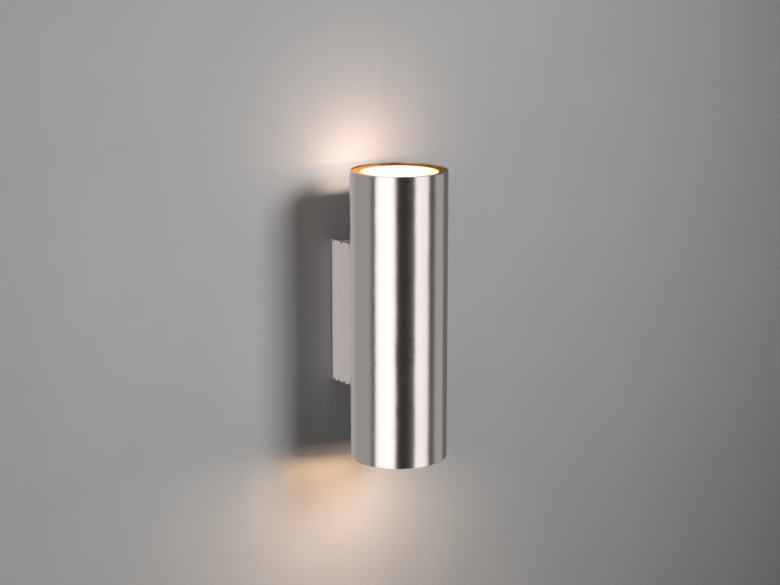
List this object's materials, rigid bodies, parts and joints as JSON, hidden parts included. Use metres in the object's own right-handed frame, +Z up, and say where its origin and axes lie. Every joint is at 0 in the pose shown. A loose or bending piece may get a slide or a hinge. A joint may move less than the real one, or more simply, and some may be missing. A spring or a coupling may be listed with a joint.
{
  "type": "tube wall light",
  "caption": "Up-and-down wall light: an open brushed tube stands off the wall on a box bracket and holds a twist-lock lamp behind a frosted glass at each end.",
  "frame": {"origin": "centre of the wall plate's back face, on the wall", "axes": "+Z up along the tube, +Y into the wall, so the light stands out towards -Y; +X to the right seen from the room"},
  "size_m": [0.08, 0.1, 0.24],
  "materials": {
    "brushed_nickel": "satin nickel, brushed round the tube and along the bracket",
    "zinc_steel": "bright zinc plate",
    "gold_ring": "gold-tone anodised, satin",
    "brass": "plain brass",
    "black_rubber": "matt rubber",
    "block_plastic": "moulded, slightly milky",
    "white_plastic": "moulded",
    "ceramic": "unglazed steatite",
    "lamp_white": "moulded white",
    "lamp_bowl": "moulded, satin white",
    "lamp_lens": "frosted",
    "cover_glass": "frosted",
    "lamp_pin": "nickel-plated brass",
    "lead_sleeve": "woven glass sleeve over silicone"
  },
  "bodies": {
    "fixture": {"tube": "brushed_nickel", "bracket_casing": "brushed_nickel", "top_end_plate": "brushed_nickel", "bottom_end_plate": "brushed_nickel", "end_plate_screws": "zinc_steel", "fixing_screws": "zinc_steel", "wall_plate": "zinc_steel", "cable_grommet": "black_rubber", "earth_washer": "brass", "earth_screw": "brass", "terminal_block": "block_plastic", "terminal_inserts": "brass", "terminal_screws": "zinc_steel", "block_screw": "zinc_steel", "threaded_nipples": "zinc_steel", "nipple_nuts": "zinc_steel", "saddle_washers": "zinc_steel", "nipple_bushes": "white_plastic", "lamp_carrier": "zinc_steel", "holder_screws": "zinc_steel", "lamp_holder_top": "ceramic", "lamp_holder_bottom": "ceramic", "holder_lid_top": "ceramic", "holder_lid_bottom": "ceramic", "reflector_ring_top": "gold_ring", "reflector_ring_bottom": "gold_ring", "cover_glass_top": "cover_glass", "cover_glass_bottom": "cover_glass", "leads_top": "lead_sleeve", "leads_bottom": "lead_sleeve"},
    "lamp_top": {"lamp_top_base": "lamp_white", "lamp_top_bowl": "lamp_bowl", "lamp_top_lens": "lamp_lens", "lamp_top_pins": "lamp_pin"},
    "lamp_bottom": {"lamp_bottom_base": "lamp_white", "lamp_bottom_bowl": "lamp_bowl", "lamp_bottom_lens": "lamp_lens", "lamp_bottom_pins": "lamp_pin"}
  },
  "joints": [
    {"name": "lamp_top_twist", "type": "hinge", "parent": "fixture", "child": "lamp_top", "pos_m": [0, -0.06, 0.1035], "axis": [0, 0, 1], "range_deg": [0, 30]},
    {"name": "lamp_bottom_twist", "type": "hinge", "parent": "fixture", "child": "lamp_bottom", "pos_m": [0, -0.06, -0.0965], "axis": [0, 0, -1], "range_deg": [0, 30]}
  ]
}
